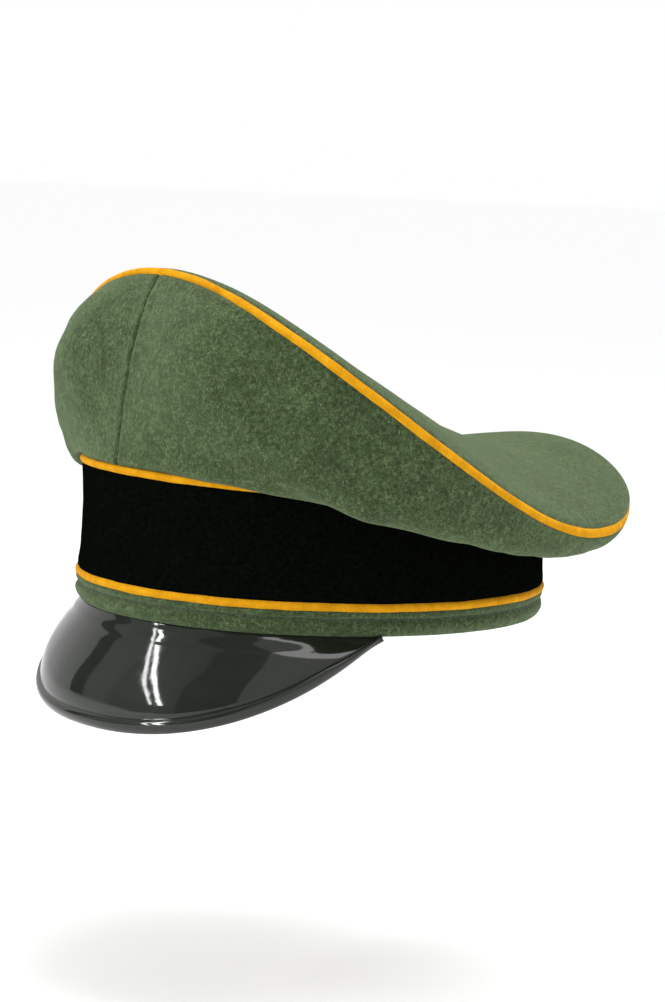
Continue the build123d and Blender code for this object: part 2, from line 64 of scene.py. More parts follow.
def oval(t, a, b, n=2.0, yc=0.0):
    s, c = np.sin(t), np.cos(t)
    r = (np.abs(s) ** n + np.abs(c) ** n) ** (-1.0 / n)
    return b * s * r, yc - a * c * r


TD = np.radians(np.arange(-260, 260.01, 1.0))


def ring_table(x, y, z):
    th = np.unwrap(np.arctan2(x, -y))
    i = np.argmin(np.abs(TD))
    th = th - 2 * pi * np.round(th[i] / (2 * pi))
    return th, np.hypot(x, y), z


def crown_xyz(t):
    x, y = oval(t, CA, CB, CN, CDY)
    z = sum(c * np.cos(k * t) for k, c in enumerate(CZ))
    return x * (1 + CEGG * np.cos(t)), y, z


def top_xyz(t):
    x, y = oval(t, BAND_A * TOP_S, BAND_B * TOP_S)
    return x, y + TOP_DY, TOP_Z + TOP_TILT * np.cos(t)


CROWN_RING = ring_table(*crown_xyz(TD))
TOP_RING = ring_table(*top_xyz(TD))
_x, _y = oval(TD, BAND_A, BAND_B)
LOW_RING = ring_table(_x, _y, np.full_like(_x, LOW_Z))


def at(ring, th):
    """(r, z) of a ring at polar angle th in radians, -pi..pi or 0..2pi."""
    th = (np.asarray(th) + pi) % (2 * pi) - pi
    return np.interp(th, ring[0], ring[1]), np.interp(th, ring[0], ring[2])


def pchip(x, xs, ys):
    xs, ys = np.array(xs, float), np.array(ys, float)
    X = np.concatenate([-xs[1:-1][::-1], xs]); Y = np.concatenate([ys[1:-1][::-1], ys])
    X = np.concatenate([X - 360, X, X + 360]); Y = np.concatenate([Y, Y, Y])
    h = np.diff(X); d = np.diff(Y) / h
    m = np.zeros_like(X)
    for i in range(1, len(X) - 1):
        if d[i - 1] * d[i] > 0:
            w1 = 2 * h[i] + h[i - 1]; w2 = h[i] + 2 * h[i - 1]
            m[i] = (w1 + w2) / (w1 / d[i - 1] + w2 / d[i])
    i = np.clip(np.searchsorted(X, x) - 1, 0, len(h) - 1)
    s = (x - X[i]) / h[i]
    return (Y[i] * (1 + 2 * s) * (1 - s) ** 2 + h[i] * m[i] * s * (1 - s) ** 2
            + Y[i + 1] * s * s * (3 - 2 * s) + h[i] * m[i + 1] * s * s * (s - 1))


def wall_rz(th, s):
    """r, z and the outward normal (nr, nz) on grids th (rad) x s."""
    k = np.abs(np.degrees((th + pi) % (2 * pi) - pi))
    r0, z0 = at(TOP_RING, th)
    r3, z3 = at(CROWN_RING, th)
    a0d = pchip(k, W_TH, W_A0)
    f = np.clip((10 - a0d) / 60.0, 0, 1)
    r0 = r0 + 1.2 * f; z0 = z0 + 1.95 + 0.65 * f
    a0 = np.radians(a0d); l0 = pchip(k, W_TH, W_L0)
    a1 = np.radians(pchip(k, W_TH, W_A1)); l1 = pchip(k, W_TH, W_L1)
    P = np.array([[r0, z0], [r0 + l0 * np.cos(a0), z0 + l0 * np.sin(a0)],
                  [r3 + l1 * np.cos(a1), z3 + l1 * np.sin(a1)], [r3, z3]])  # 4,2,nth
    s = np.asarray(s); u = 1 - s
    w = np.array([u ** 3, 3 * u * u * s, 3 * u * s * s, s ** 3])
    q = np.einsum('ks,kct->cts', w, P)
    d = np.array([3 * u * u, 6 * u * s, 3 * s * s])
    dq = np.einsum('ks,kct->cts', d, P[1:] - P[:-1])
    L = np.hypot(dq[0], dq[1])
    return q[0], q[1], dq[1] / L, -dq[0] / L


def top_height(x, y):
    th = np.arctan2(x, -(y - CDY))
    t = th.copy()
    for _ in range(14):
        ex, ey = oval(t, CA, CB, CN, 0)
        ex = ex * (1 + CEGG * np.cos(t))
        e = np.arctan2(ex, -ey) - th
        t = t - ((e + pi) % (2 * pi) - pi)
    ex, ey = oval(t, CA, CB, CN, 0)
    ex = ex * (1 + CEGG * np.cos(t))
    R = np.hypot(x, y - CDY) / np.hypot(ex, ey)
    z = sum(c * R ** k * np.cos(k * t) for k, c in enumerate(CZ))
    z = z + (1 - R * R) * (DOME[0] + DOME[1] * R * np.cos(t) + DOME[2] * R * R * np.cos(2 * t))
    return z + np.where(R < 1, PUFF * (1 - np.minimum(R, 1) ** 16) * R ** 4, -PUFF * 16 * (R - 1))


def wob(p, scale, seed, octaves=3):
    """Smooth made-up noise, about -1..1, on points p (..., 3) in mm."""
    g = np.random.default_rng(seed)
    out = 0; amp = 1.0; tot = 0
    for o in range(octaves):
        for _ in range(5):
            k = g.normal(size=3); k = k / np.linalg.norm(k) * (2 * pi / scale) * (0.7 + 0.6 * g.random())
            out = out + amp * np.sin(p @ k + g.random() * 2 * pi)
        tot += amp * 5 ** 0.5
        amp *= 0.5; scale = scale * 0.5
    return out / tot


def smooth(a, b, x):
    t = np.clip((x - a) / (b - a), 0, 1)
    return t * t * (3 - 2 * t)


def gauss(x, c, w):
    return np.exp(-0.5 * ((x - c) / w) ** 2)


# ---------------------------------------------------------------- mesh helpers
def make_obj(name, verts, faces, mat=None, smooth_shade=True, uvs=None):
    me = bpy.data.meshes.new(name)
    me.from_pydata((np.asarray(verts) * MM).tolist(), [], [tuple(f) for f in faces])
    me.validate()
    if uvs is not None:
        uv = me.uv_layers.new(name="UVMap")
        idx = np.empty(len(me.loops), int); me.loops.foreach_get("vertex_index", idx)
        uv.data.foreach_set("uv", (np.asarray(uvs) * MM)[idx].ravel())
    if smooth_shade:
        me.polygons.foreach_set("use_smooth", [True] * len(me.polygons))
    me.update()
    ob = bpy.data.objects.new(name, me)
    bpy.context.scene.collection.objects.link(ob)
    if mat:
        me.materials.append(mat)
    return ob


def fix_normals(ob):
    bm = bmesh.new(); bm.from_mesh(ob.data)
    bmesh.ops.recalc_face_normals(bm, faces=bm.faces)
    bm.to_mesh(ob.data); bm.free()


def grid_faces(nu, nv, closed_u=False, base=0, flip=False):
    i = np.arange(nu if closed_u else nu - 1); j = np.arange(nv - 1)
    I, J = np.meshgrid(i, j, indexing='ij'); I2 = (I + 1) % nu
    q = np.stack([base + I * nv + J, base + I2 * nv + J, base + I2 * nv + J + 1, base + I * nv + J + 1], -1).reshape(-1, 4)
    return q[:, ::-1] if flip else q


def arc_uv(P, closed_u=False):
    du = np.linalg.norm(np.diff(P, axis=0), axis=-1).mean(1)
    u = np.concatenate([[0], np.cumsum(du)])
    dv = np.linalg.norm(np.diff(P, axis=1), axis=-1)
    v = np.concatenate([np.zeros((P.shape[0], 1)), np.cumsum(dv, 1)], 1)
    return np.stack([np.broadcast_to(u[:, None], v.shape), v], -1)


def shell(name, outer, inner, closed_u=False, mat=None, cap_ends=True):
    """Closed shell between two grids (nu, nv, 3)."""
    nu, nv = outer.shape[:2]
    V = np.concatenate([outer.reshape(-1, 3), inner.reshape(-1, 3)])
    n = nu * nv
    F = [grid_faces(nu, nv, closed_u), grid_faces(nu, nv, closed_u, base=n, flip=True)]
    I = np.arange(nu if closed_u else nu - 1); I2 = (I + 1) % nu
    for j, fl in ((0, False), (nv - 1, True)):
        q = np.stack([I * nv + j, n + I * nv + j, n + I2 * nv + j, I2 * nv + j], -1)
        F.append(q[:, ::-1] if fl else q)
    if not closed_u and cap_ends:
        J = np.arange(nv - 1)
        for i, fl in ((0, True), (nu - 1, False)):
            q = np.stack([i * nv + J, n + i * nv + J, n + i * nv + J + 1, i * nv + J + 1], -1)
            F.append(q[:, ::-1] if fl else q)
    uv = arc_uv(outer).reshape(-1, 2)
    ob = make_obj(name, V, np.concatenate(F), mat, uvs=np.concatenate([uv, uv]))
    fix_normals(ob)
    return ob


def solid_ring(name, prof, mat=None):
    """Closed loop profile swept round: prof (nu, nv, 3), both ways closed."""
    nu, nv = prof.shape[:2]
    i = np.arange(nu); j = np.arange(nv)
    I, J = np.meshgrid(i, j, indexing='ij'); I2 = (I + 1) % nu; J2 = (J + 1) % nv
    F = np.stack([I * nv + J, I2 * nv + J, I2 * nv + J2, I * nv + J2], -1).reshape(-1, 4)
    ob = make_obj(name, prof.reshape(-1, 3), F, mat, uvs=arc_uv(prof).reshape(-1, 2))
    fix_normals(ob)
    return ob


def polar(r, th, z):
    return np.stack([r * np.sin(th), -r * np.cos(th), z], -1)


def normals(P):
    du = np.gradient(P, axis=0); dv = np.gradient(P, axis=1)
    n = np.cross(du, dv)
    return n / np.maximum(np.linalg.norm(n, axis=-1, keepdims=True), 1e-9)


def tube(name, path, radius, nseg=16, closed=True, mat=None, squash_fn=None, taper_ends=False):
    """Round tube along path (n, 3) in mm."""
    n = len(path)
    if closed:
        tan = np.roll(path, -1, 0) - np.roll(path, 1, 0)
    else:
        tan = np.gradient(path, axis=0)
    tan /= np.linalg.norm(tan, axis=-1, keepdims=True)
    up = np.array([0, 0, 1.0])
    side = np.cross(tan, up); side /= np.maximum(np.linalg.norm(side, axis=-1, keepdims=True), 1e-9)
    nrm = np.cross(side, tan)
    a = 2 * pi * np.arange(nseg) / nseg
    R = np.broadcast_to(np.asarray(radius, float).reshape(-1, 1) if np.ndim(radius) else np.array([[radius]]), (n, nseg)).copy()
    if squash_fn is not None:
        R = R * squash_fn(np.arange(n)[:, None] / n, a[None, :])
    P = path[:, None] + R[..., None] * (np.cos(a)[None, :, None] * side[:, None] + np.sin(a)[None, :, None] * nrm[:, None])
    L = np.linalg.norm(np.diff(path, axis=0), axis=-1)
    u = np.concatenate([[0], np.cumsum(L)])
    uv = np.stack(np.broadcast_arrays(u[:, None], (a * np.mean(radius))[None, :]), -1).reshape(-1, 2)
    if closed:
        i = np.arange(n); I2f = lambda I: (I + 1) % n
    else:
        i = np.arange(n - 1); I2f = lambda I: I + 1
    I, J = np.meshgrid(i, np.arange(nseg), indexing='ij'); I2 = I2f(I); J2 = (J + 1) % nseg
    F = np.stack([I * nseg + J, I2 * nseg + J, I2 * nseg + J2, I * nseg + J2], -1).reshape(-1, 4).tolist()
    V = P.reshape(-1, 3)
    if not closed:
        F.append(list(range(nseg))); F.append([(n - 1) * nseg + k for k in range(nseg)])
    ob = make_obj(name, V, F, mat, uvs=uv)
    fix_normals(ob)
    return ob


def capsules(name, specs, mat, nseg=8):
    """Many small stitches in one mesh: specs = [(a, b, radius, lift_dir, lift)]"""
    V, F = [], []
    for a, b, r, up, lift in specs:
        a, b, up = np.array(a), np.array(b), np.array(up)
        d = b - a; L = np.linalg.norm(d); d = d / L
        side = np.cross(d, up); side /= np.linalg.norm(side); nn = np.cross(side, d)
        rows = []
        for s, rr in ((0, 0.35), (0.08, 0.8), (0.25, 1.0), (0.5, 1.05), (0.75, 1.0), (0.92, 0.8), (1, 0.35)):
            c = a + d * L * s + nn * lift * math.sin(pi * s)
            ang = 2 * pi * np.arange(nseg) / nseg
            rows.append(c + r * rr * (np.cos(ang)[:, None] * side + 0.8 * np.sin(ang)[:, None] * nn))
        base = len(V)
        V.extend(np.concatenate(rows))
        for i in range(len(rows) - 1):
            for k in range(nseg):
                k2 = (k + 1) % nseg
                F.append((base + i * nseg + k, base + i * nseg + k2, base + (i + 1) * nseg + k2, base + (i + 1) * nseg + k))
        F.append(tuple(base + k for k in range(nseg))[::-1])
        F.append(tuple(base + (len(rows) - 1) * nseg + k for k in range(nseg)))
    ob = make_obj(name, V, F, mat)
    fix_normals(ob)
    return ob


# ---------------------------------------------------------------- materials
class NT:
    def __init__(self, name):
        self.mat = bpy.data.materials.new(name); self.mat.use_nodes = True
        self.t = self.mat.node_tree; self.t.nodes.clear()
        self.out = self.t.nodes.new("ShaderNodeOutputMaterial")
        self.bsdf = self.t.nodes.new("ShaderNodeBsdfPrincipled")
        self.t.links.new(self.bsdf.outputs[0], self.out.inputs[0])
        self.coord = self.t.nodes.new("ShaderNodeTexCoord")

    def link(self, a, b):
        self.t.links.new(a, b)

    def set(self, **kw):
        for k, v in kw.items():
            self.bsdf.inputs[k.replace("_", " ")].default_value = v
        return self

    def mapping(self, scale, src="Object", rot=(0, 0, 0)):
        m = self.t.nodes.new("ShaderNodeMapping")
        m.inputs["Scale"].default_value = scale if hasattr(scale, "__len__") else (scale,) * 3
        m.inputs["Rotation"].default_value = rot
        self.link(self.coord.outputs[src], m.inputs[0])
        return m.outputs[0]

    def noise(self, scale, detail=3, rough=0.55, dist=0.0, vec=None, kind=None, src="Object"):
        n = self.t.nodes.new("ShaderNodeTexNoise")
        if kind:
            n.noise_type = kind
        n.inputs["Scale"].default_value = scale
        n.inputs["Detail"].default_value = detail
        n.inputs["Roughness"].default_value = rough
        n.inputs["Distortion"].default_value = dist
        self.link(vec if vec is not None else self.coord.outputs[src], n.inputs["Vector"])
        return n.outputs["Fac"]

    def voronoi(self, scale, feature='F1', vec=None, rnd=1.0):
        n = self.t.nodes.new("ShaderNodeTexVoronoi")
        n.feature = feature
        n.inputs["Scale"].default_value = scale
        n.inputs["Randomness"].default_value = rnd
        self.link(vec if vec is not None else self.coord.outputs["Object"], n.inputs["Vector"])
        return n

    def wave(self, scale, dist=0.0, vec=None, dirn='X', prof='SIN', detail=2, dscale=1.0):
        n = self.t.nodes.new("ShaderNodeTexWave")
        n.bands_direction = dirn; n.wave_profile = prof
        n.inputs["Scale"].default_value = scale; n.inputs["Distortion"].default_value = dist
        n.inputs["Detail"].default_value = detail; n.inputs["Detail Scale"].default_value = dscale
        self.link(vec if vec is not None else self.coord.outputs["UV"], n.inputs["Vector"])
        return n.outputs["Fac"]

    def math(self, op, a, b=None, c=None, clamp=False):
        n = self.t.nodes.new("ShaderNodeMath"); n.operation = op; n.use_clamp = clamp
        for i, v in enumerate((a, b, c)):
            if v is None:
                continue
            if isinstance(v, (int, float)):
                n.inputs[i].default_value = v
            else:
                self.link(v, n.inputs[i])
        return n.outputs[0]

    def ramp(self, fac, stops, mode='LINEAR'):
        n = self.t.nodes.new("ShaderNodeValToRGB")
        n.color_ramp.interpolation = mode
        e = n.color_ramp.elements
        while len(e) < len(stops):
            e.new(0.5)
        for el, (p, c) in zip(e, stops):
            el.position = p
            el.color = (*c, 1) if len(c) == 3 else c
        self.link(fac, n.inputs[0])
        return n.outputs[0]

    def mix(self, fac, a, b, mode='MIX'):
        n = self.t.nodes.new("ShaderNodeMix"); n.data_type = 'RGBA'; n.blend_type = mode
        for sock, v in ((n.inputs[0], fac), (n.inputs[6], a), (n.inputs[7], b)):
            if isinstance(v, (int, float)):
                sock.default_value = v
            elif isinstance(v, tuple):
                sock.default_value = (*v, 1) if len(v) == 3 else v
            else:
                self.link(v, sock)
        return n.outputs[2]

    def maprange(self, v, a, b, c, d):
        n = self.t.nodes.new("ShaderNodeMapRange")
        for i, x in enumerate((a, b, c, d)):
            n.inputs[i + 1].default_value = x
        self.link(v, n.inputs[0])
        return n.outputs[0]

    def bump(self, height, strength, dist=0.001, prev=None):
        n = self.t.nodes.new("ShaderNodeBump")
        n.inputs["Strength"].default_value = strength
        n.inputs["Distance"].default_value = dist
        self.link(height, n.inputs["Height"])
        if prev is not None:
            self.link(prev, n.inputs["Normal"])
        return n.outputs[0]

    def attr(self, name):
        n = self.t.nodes.new("ShaderNodeAttribute"); n.attribute_name = name
        return n.outputs["Fac"]


def felt(name, dark, mid, light, pale, sheen=0.40, sheen_tint=(0.52, 0.66, 0.40), bump=0.7):
    m = NT(name)
    patch = m.noise(38, 4, 0.6, 0.4)
    fine = m.noise(620, 4, 0.7, 0.5)
    med = m.noise(150, 3, 0.6, 0.3)
    vec = m.mapping((1050, 1050, 560), rot=(0.5, 0.3, 0.6))
    fib = m.noise(1.0, 3, 0.6, 2.2, vec=vec)
    vec2 = m.mapping((560, 1100, 1050), rot=(1.1, 0.5, 0.2))
    fib2 = m.noise(1.0, 3, 0.6, 2.6, vec=vec2)
    c1 = m.ramp(fine, [(0.34, dark), (0.50, mid), (0.66, light)])
    c1 = m.mix(m.maprange(med, 0.36, 0.60, 0.42, 0.0), c1, dark)
    c2 = m.mix(m.maprange(fib, 0.57, 0.70, 0.0, 0.62), c1, pale)
    c3 = m.mix(m.maprange(fib2, 0.30, 0.42, 0.65, 0.0), c2, dark)
    c4 = m.mix(m.maprange(patch, 0.35, 0.70, 0.0, 0.55), c3, m.mix(0.45, c3, dark))
    broad = m.noise(11, 3, 0.5, 0.2)
    c4 = m.mix(m.maprange(broad, 0.35, 0.65, 0.0, 0.35), c4, m.mix(0.35, c4, light))
    # stray pale hairs
    hv = m.mapping((140, 900, 900), rot=(0.2, 0.9, 0.5))
    hair = m.noise(1.0, 1, 0.4, 3.0, vec=hv, kind='RIDGED_MULTIFRACTAL')
    c4 = m.mix(m.maprange(hair, 1.55, 1.72, 0.0, 0.55), c4, (0.42, 0.44, 0.34))
    m.link(c4, m.bsdf.inputs["Base Color"])
    b = m.bump(fine, bump * 0.55, 0.0007)
    b = m.bump(fib, bump, 0.0005, b)
    b = m.bump(fib2, bump * 0.8, 0.0004, b)
    m.link(b, m.bsdf.inputs["Normal"])
    m.set(Roughness=0.95, Sheen_Weight=sheen, Sheen_Roughness=0.5, Specular_IOR_Level=0.08)
    m.bsdf.inputs["Sheen Tint"].default_value = (*sheen_tint, 1)
    return m.mat


M_FELT = felt("felt_green", (0.0090, 0.0185, 0.0058), (0.036, 0.060, 0.022), (0.102, 0.146, 0.064), (0.30, 0.34, 0.19))


def piping_mat():
    m = NT("piping_orange")
    vec = m.mapping((1, 1, 1), "UV")
    tw = m.wave(300, 1.2, dirn='DIAGONAL', detail=2)
    n1 = m.noise(160, 4, 0.6)
    n2 = m.noise(1300, 3, 0.6, 1.0)
    c = m.ramp(n1, [(0.3, (0.52, 0.225, 0.004)), (0.55, (0.67, 0.315, 0.008)), (0.75, (0.76, 0.38, 0.014))])
    c = m.mix(m.maprange(n2, 0.35, 0.65, 0.30, 0.0), c, (0.42, 0.15, 0.001))
    # painted shade: the troughs of the twisted weave are darkened
    c = m.mix(m.maprange(tw, 0.0, 0.5, 0.16, 0.0), c, (0.36, 0.12, 0.001))
    m.link(c, m.bsdf.inputs["Base Color"])
    b = m.bump(tw, 0.25, 0.0003)
    b = m.bump(n2, 0.5, 0.0003, b)
    m.link(b, m.bsdf.inputs["Normal"])
    m.set(Roughness=0.9, Sheen_Weight=0.03, Sheen_Roughness=0.5, Specular_IOR_Level=0.05)
    m.bsdf.inputs["Sheen Tint"].default_value = (1.0, 0.75, 0.35, 1)
    return m.mat


M_PIPE = piping_mat()


def band_mat():
    m = NT("band_black_wool")
    fine = m.noise(700, 4, 0.65, 0.6)
    fib = m.noise(1.0, 3, 0.6, 2.0, vec=m.mapping((900, 900, 500), rot=(0.3, 0.2, 0.5)))
    v = m.voronoi(330)
    lint = m.maprange(v.outputs["Distance"], 0.035, 0.06, 1.0, 0.0)
    gate = m.maprange(m.noise(75, 2, 0.5), 0.57, 0.62, 0.0, 1.0)
    lint = m.math('MULTIPLY', lint, gate)
    c = m.ramp(fine, [(0.3, (0.0006, 0.0010, 0.0006)), (0.7, (0.0028, 0.0038, 0.0026))])
    c = m.mix(m.maprange(fib, 0.60, 0.75, 0, 0.5), c, (0.012, 0.014, 0.011))
    c = m.mix(m.math('MULTIPLY', lint, 0.6), c, (0.10, 0.10, 0.09))
    m.link(c, m.bsdf.inputs["Base Color"])
    b = m.bump(fine, 0.5, 0.0005)
    b = m.bump(fib, 0.5, 0.0004, b)
    m.link(b, m.bsdf.inputs["Normal"])
    m.set(Roughness=1.0, Sheen_Weight=0.0, Specular_IOR_Level=0.0)
    m.bsdf.inputs["Sheen Tint"].default_value = (0.5, 0.55, 0.5, 1)
    return m.mat


M_BAND = band_mat()


def gloss_mat():
    m = NT("visor_lacquer")
    n1 = m.noise(60, 3, 0.5)
    n2 = m.noise(420, 3, 0.55)
    scr = m.noise(1.0, 4, 0.6, 0.3, vec=m.mapping((40, 40, 1400), rot=(0.5, 0.9, 0.2)))
    c = m.ramp(n1, [(0.3, (0.0075, 0.0100, 0.0068)), (0.7, (0.0110, 0.0140, 0.0098))])
    m.link(c, m.bsdf.inputs["Base Color"])
    r = m.math('ADD', m.maprange(n2, 0.35, 0.75, 0.045, 0.09), m.maprange(scr, 0.62, 0.72, 0.0, 0.08))
    m.link(r, m.bsdf.inputs["Roughness"])
    b = m.bump(n1, 0.05, 0.0012)
    b = m.bump(n2, 0.035, 0.0003, b)
    m.link(b, m.bsdf.inputs["Normal"])
    m.set(IOR=1.46)
    return m.mat


M_VISOR = gloss_mat()


def under_mat():
    m = NT("visor_underside_tan")
    d1 = m.wave(260, 0.1, dirn='DIAGONAL')
    vr = m.mapping((1, -1, 1), "UV")
    d2 = m.wave(260, 0.1, vec=vr, dirn='DIAGONAL')
    g = m.math('MAXIMUM', d1, d2)
    n1 = m.noise(120, 4, 0.6)
    c = m.ramp(n1, [(0.3, (0.085, 0.043, 0.018)), (0.7, (0.16, 0.088, 0.040))])
    # painted shade: the recessed diamond emboss lines are darkened
    c = m.mix(m.maprange(g, 0.8, 1.0, 0.0, 0.5), c, (0.05, 0.024, 0.010))
    m.link(c, m.bsdf.inputs["Base Color"])
    b = m.bump(g, 0.5, -0.0003)
    b = m.bump(n1, 0.1, 0.0004, b)
    m.link(b, m.bsdf.inputs["Normal"])
    m.link(m.maprange(n1, 0.3, 0.7, 0.42, 0.58), m.bsdf.inputs["Roughness"])
    return m.mat


M_UNDER = under_mat()


def leather_mat():
    m = NT("sweatband_leather")
    v = m.voronoi(900, 'DISTANCE_TO_EDGE')
    n1 = m.noise(45, 4, 0.6, 0.5)
    n2 = m.noise(500, 4, 0.6)
    cr = m.maprange(v.outputs["Distance"], 0.0, 0.12, 1.0, 0.0)
    c = m.ramp(n1, [(0.28, (0.13, 0.060, 0.022)), (0.52, (0.25, 0.125, 0.050)), (0.75, (0.34, 0.185, 0.082))])
    c = m.mix(m.math('MULTIPLY', cr, 0.3), c, (0.09, 0.04, 0.015))
    # painted shade: the recessed grain creases (Voronoi cell edges) are darkened
    m.link(c, m.bsdf.inputs["Base Color"])
    b = m.bump(cr, 0.22, -0.0002)
    b = m.bump(n2, 0.10, 0.0002, b)
    m.link(b, m.bsdf.inputs["Normal"])
    m.link(m.maprange(n1, 0.3, 0.7, 0.38, 0.55), m.bsdf.inputs["Roughness"])
    m.set(Coat_Weight=0.1, Coat_Roughness=0.3)
    return m.mat


M_LEATHER = leather_mat()


def lining_mat():
    m = NT("lining_satin")
    wx = m.wave(900, 0.3, dirn='X'); wy = m.wave(620, 0.3, dirn='Y')
    n1 = m.noise(24, 4, 0.55, 0.4)
    n2 = m.noise(900, 2, 0.5)
    c = m.ramp(n1, [(0.3, (0.17, 0.095, 0.028)), (0.7, (0.30, 0.18, 0.060))])
    c = m.mix(m.math('MULTIPLY', wx, 0.25), c, (0.12, 0.06, 0.018))
    c = m.mix(m.maprange(n2, 0.4, 0.7, 0.0, 0.2), c, (0.40, 0.26, 0.10))
    m.link(c, m.bsdf.inputs["Base Color"])
    b = m.bump(wx, 0.25, 0.00015)
    b = m.bump(wy, 0.15, 0.00015, b)
    m.link(b, m.bsdf.inputs["Normal"])
    m.set(Roughness=0.42, Sheen_Weight=0.25, Sheen_Roughness=0.3)
    m.bsdf.inputs["Sheen Tint"].default_value = (1.0, 0.8, 0.5, 1)
    return m.mat


M_LINING = lining_mat()


def shield_mat():
    m = NT("shield_clear")
    n1 = m.noise(60, 4, 0.6, 0.5)
    c = m.ramp(n1, [(0.3, (0.62, 0.47, 0.22)), (0.7, (0.78, 0.66, 0.40))])
    m.link(c, m.bsdf.inputs["Base Color"])
    m.link(m.maprange(m.noise(400, 3, 0.5), 0.4, 0.7, 0.06, 0.16), m.bsdf.inputs["Roughness"])
    m.link(m.bump(n1, 0.08, 0.001), m.bsdf.inputs["Normal"])
    m.set(Alpha=0.35, IOR=1.5, Coat_Weight=0.5, Coat_Roughness=0.05)
    return m.mat


M_SHIELD = shield_mat()


def thread_mat(name, a, b_):
    m = NT(name)
    n = m.noise(1600, 3, 0.6)
    tw = m.noise(1.0, 2, 0.5, 0.5, vec=m.mapping((2600, 1200, 2600), rot=(0.5, 0.5, 0.5)))
    c = m.ramp(n, [(0.3, a), (0.7, b_)])
    m.link(c, m.bsdf.inputs["Base Color"])
    m.link(m.bump(tw, 0.5, 0.0002), m.bsdf.inputs["Normal"])
    m.set(Roughness=0.7, Sheen_Weight=0.2)
    return m.mat


M_THREAD = thread_mat("thread_green", (0.020, 0.030, 0.014), (0.050, 0.065, 0.035))
M_THREAD_T = thread_mat("thread_tan", (0.16, 0.10, 0.04), (0.34, 0.24, 0.12))
M_REED = thread_mat("reed_waxed", (0.030, 0.018, 0.009), (0.075, 0.045, 0.022))

def simple(name, c1, c2, rough, metal=0.0, scale=300):
    m = NT(name)
    n = m.noise(scale, 4, 0.6)
    m.link(m.ramp(n, [(0.3, c1), (0.7, c2)]), m.bsdf.inputs["Base Color"])
    m.link(m.maprange(n, 0.3, 0.7, rough - 0.08, rough + 0.08), m.bsdf.inputs["Roughness"])
    m.link(m.bump(n, 0.2, 0.0003), m.bsdf.inputs["Normal"])
    m.set(Metallic=metal)
    return m.mat


M_CANVAS = simple("hair_canvas", (0.28, 0.23, 0.15), (0.48, 0.42, 0.30), 0.9, 0, 900)

# --------------------------------------------------------------- camera, stage
PSI, ELEV, ROLL = math.radians(50.80), math.radians(6.58), math.radians(3.35)
DIST, FPX, TX, TY = 1311.83, 3115.76, 6.72, -6.88
back = np.array([math.sin(PSI) * math.cos(ELEV), -math.cos(PSI) * math.cos(ELEV), math.sin(ELEV)])
right = np.array([math.cos(PSI), math.sin(PSI), 0.0])
upv = np.cross(back, right)
tgt = np.array([0, 0, 50.0]) + TX * right + TY * upv
pos = tgt + back * DIST
r2 = math.cos(ROLL) * right + math.sin(ROLL) * upv
u2 = -math.sin(ROLL) * right + math.cos(ROLL) * upv
cam = bpy.data.cameras.new("camera")
camo = bpy.data.objects.new("camera", cam)
bpy.context.scene.collection.objects.link(camo)
camo.matrix_world = Matrix([[r2[0], u2[0], back[0], pos[0] * MM], [r2[1], u2[1], back[1], pos[1] * MM],
                            [r2[2], u2[2], back[2], pos[2] * MM], [0, 0, 0, 1]])
cam.sensor_fit = 'AUTO'; cam.sensor_width = 36.0
cam.lens = FPX * 36.0 / 1002.0
cam.clip_start = 0.05; cam.clip_end = 60
bpy.context.scene.camera = camo

bpy.ops.mesh.primitive_plane_add(size=30, location=(0, 0, -0.16))
floor = bpy.context.object; floor.name = "floor"
fm = bpy.data.materials.new("floor_pale"); fm.use_nodes = True
fb = fm.node_tree.nodes["Principled BSDF"]
fb.inputs["Base Color"].default_value = (0.97, 0.97, 0.97, 1)
fb.inputs["Roughness"].default_value = 0.9
floor.data.materials.append(fm)

world = bpy.data.worlds.new("studio"); bpy.context.scene.world = world
world.use_nodes = True
bg = world.node_tree.nodes["Background"]
bg.inputs[0].default_value = (1.0, 1.0, 1.0, 1); bg.inputs[1].default_value = 1.0


def area(name, loc, target, size, size_y, power, color=(1, 1, 1)):
    d = bpy.data.lights.new(name, 'AREA'); d.shape = 'RECTANGLE'
    d.size = size; d.size_y = size_y; d.energy = power; d.color = color
    o = bpy.data.objects.new(name, d); bpy.context.scene.collection.objects.link(o)
    o.location = loc
    v = Vector(target) - Vector(loc)
    o.rotation_euler = v.to_track_quat('-Z', 'Y').to_euler()
    return o


def toward(az, el, dist):
    a, e = math.radians(az), math.radians(el)
    return (dist * math.sin(a) * math.cos(e), -dist * math.cos(a) * math.cos(e), dist * math.sin(e))


def flag(name, az0, az1, el0, el1, dist, shade):
    """A card stood off to one side, seen only as a tone in the gloss."""
    pts = [toward(az0 + (az1 - az0) * i / 6, el0 + (el1 - el0) * j / 16, dist) for i in range(7) for j in range(17)]
    me = bpy.data.meshes.new(name)
    me.from_pydata(pts, [], [(i * 17 + j, i * 17 + 17 + j, i * 17 + 18 + j, i * 17 + 1 + j) for i in range(6) for j in range(16)]); me.update()
    ob = bpy.data.objects.new(name, me); bpy.context.scene.collection.objects.link(ob)
    mt = bpy.data.materials.new(name); mt.use_nodes = True
    b = mt.node_tree.nodes["Principled BSDF"]
    b.inputs["Base Color"].default_value = (*shade, 1); b.inputs["Roughness"].default_value = 1.0
    b.inputs["Specular IOR Level"].default_value = 0.0
    me.materials.append(mt)
    ob.visible_camera = False
    return ob


area("top_soft", (0.3, 0.2, 1.8), (0, 0, 0.05), 1.4, 1.4, 24)
for nm, az, wd, pw in (("window_a", -17.5, 0.06, 7), ("window_b", -11.5, 0.09, 14)):
    win = area(nm, toward(az, 24, 1.9), (0.035, -0.104, -0.02), wd, 1.65, pw)
    win.rotation_euler.rotate_axis('Z', math.radians(29))
flag("flag_a", -61, -50.5, -25, 55, 2.6, (0.16, 0.17, 0.16))
flag("flag_b", -50.5, -30, -25, 60, 2.65, (0.62, 0.66, 0.62))
flag("flag_c", -30, 7, -25, 64, 2.7, (0.55, 0.59, 0.55))
flag("flag_d", 7, 36, -25, 84, 2.6, (0.26, 0.27, 0.26))

